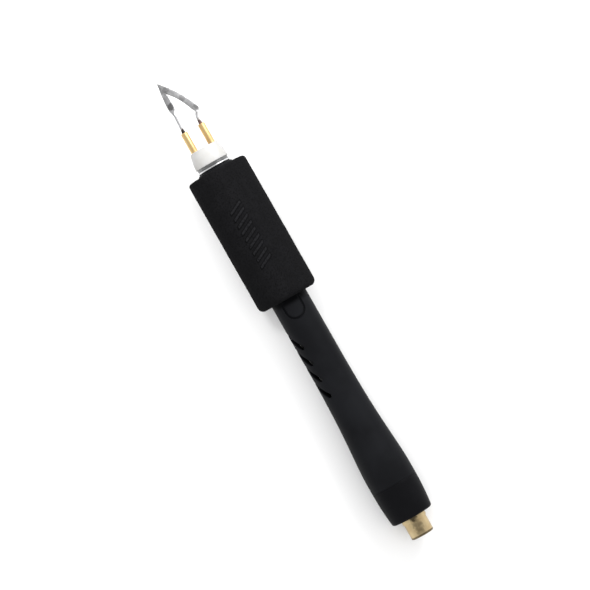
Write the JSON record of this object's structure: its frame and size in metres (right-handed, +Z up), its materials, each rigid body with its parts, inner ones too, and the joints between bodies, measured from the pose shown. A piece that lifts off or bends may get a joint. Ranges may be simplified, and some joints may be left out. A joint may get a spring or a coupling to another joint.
{
  "type": "wood burning pen",
  "caption": "Pyrography pen with a bent skew blade on brass posts, white insulating base, sliding foam grip, vented flared handle and a phono jack at the tail.",
  "frame": {"origin": "on the pen's axis, half way between the rear rim of the jack and the point of the tip", "axes": "+X along the pen from the jack to the tip, +Z up and square to the flat of the blade, +Y to the pen's left, the side of the vents"},
  "size_m": [0.1722, 0.0212, 0.0212],
  "materials": {
    "nichrome": "hammered and ground nichrome wire with heat tint",
    "scorched_solder": "dark, heat scaled",
    "post_brass": "drawn brass rod, lightly tarnished",
    "white_insulator": "waxy white fluoropolymer, machined",
    "polished_steel": "polished",
    "handle_plastic": "satin moulded black",
    "grip_foam": "matte closed-cell foam",
    "gold_plating": "pale gold flash plating",
    "jack_plastic": "moulded black",
    "tinned_metal": "tinned, satin",
    "plated_steel": "bright zinc plate",
    "copper": "bare stranded copper",
    "lead_insulation": "silicone",
    "heat_shrink": "shrunk tubing"
  },
  "bodies": {
    "pen": {"skew_tip": "nichrome", "tip_solder": "scorched_solder", "left_post": "post_brass", "right_post": "post_brass", "tip_base": "white_insulator", "front_ferrule": "polished_steel", "handle": "handle_plastic", "rear_cap": "handle_plastic", "jack_shell": "gold_plating", "jack_insulator": "jack_plastic", "jack_contact": "gold_plating", "ground_lug": "tinned_metal", "lock_washer": "plated_steel", "jack_nut": "plated_steel", "left_lead_core": "copper", "left_lead_insulation": "lead_insulation", "right_lead_core": "copper", "right_lead_insulation": "lead_insulation", "left_post_sleeve": "heat_shrink", "right_post_sleeve": "heat_shrink", "jack_sleeve": "heat_shrink", "solder_joints": "tinned_metal"},
    "grip": {"foam_grip": "grip_foam"}
  },
  "joints": [
    {"name": "grip_slide", "type": "slide", "parent": "pen", "child": "grip", "axis": [-1, 0, 0], "range_m": [0, 0.0255]}
  ]
}
